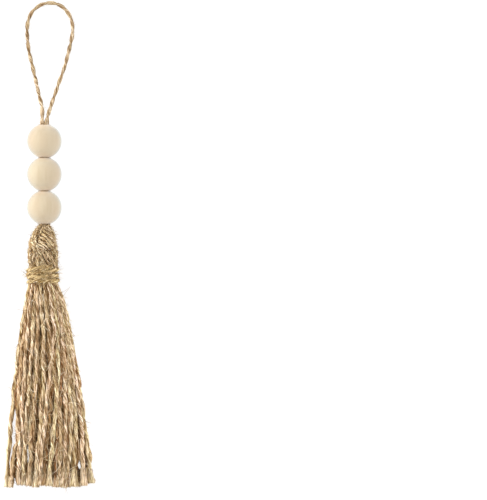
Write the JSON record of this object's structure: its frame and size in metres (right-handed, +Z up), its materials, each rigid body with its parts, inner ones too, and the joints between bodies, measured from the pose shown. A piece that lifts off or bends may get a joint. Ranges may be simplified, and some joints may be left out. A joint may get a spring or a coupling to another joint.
{
  "type": "tassel",
  "caption": "Jute tassel with a bound head, a spread skirt of twisted strands, round wooden beads above it and a twisted hanging loop, lying face up.",
  "frame": {"origin": "on the surface that the tassel lies on, below the middle of the box of the beads and the tassel, the loop cord aside", "axes": "+Y along the tassel from the hem to the loop, +Z up out of the face that shows, +X to the right of that face"},
  "size_m": [0.0421, 0.223, 0.0158],
  "materials": {
    "pale_wood": "smooth unvarnished wood",
    "cord_jute": "two-ply twisted jute cord",
    "jute": "hairy twisted jute strands",
    "binding_jute": "wound jute twine"
  },
  "bodies": {
    "root": {"bead_top": "pale_wood", "bead_middle": "pale_wood", "bead_bottom": "pale_wood", "loop_cord": "cord_jute", "tassel": "jute", "binding": "binding_jute"}
  },
  "joints": []
}
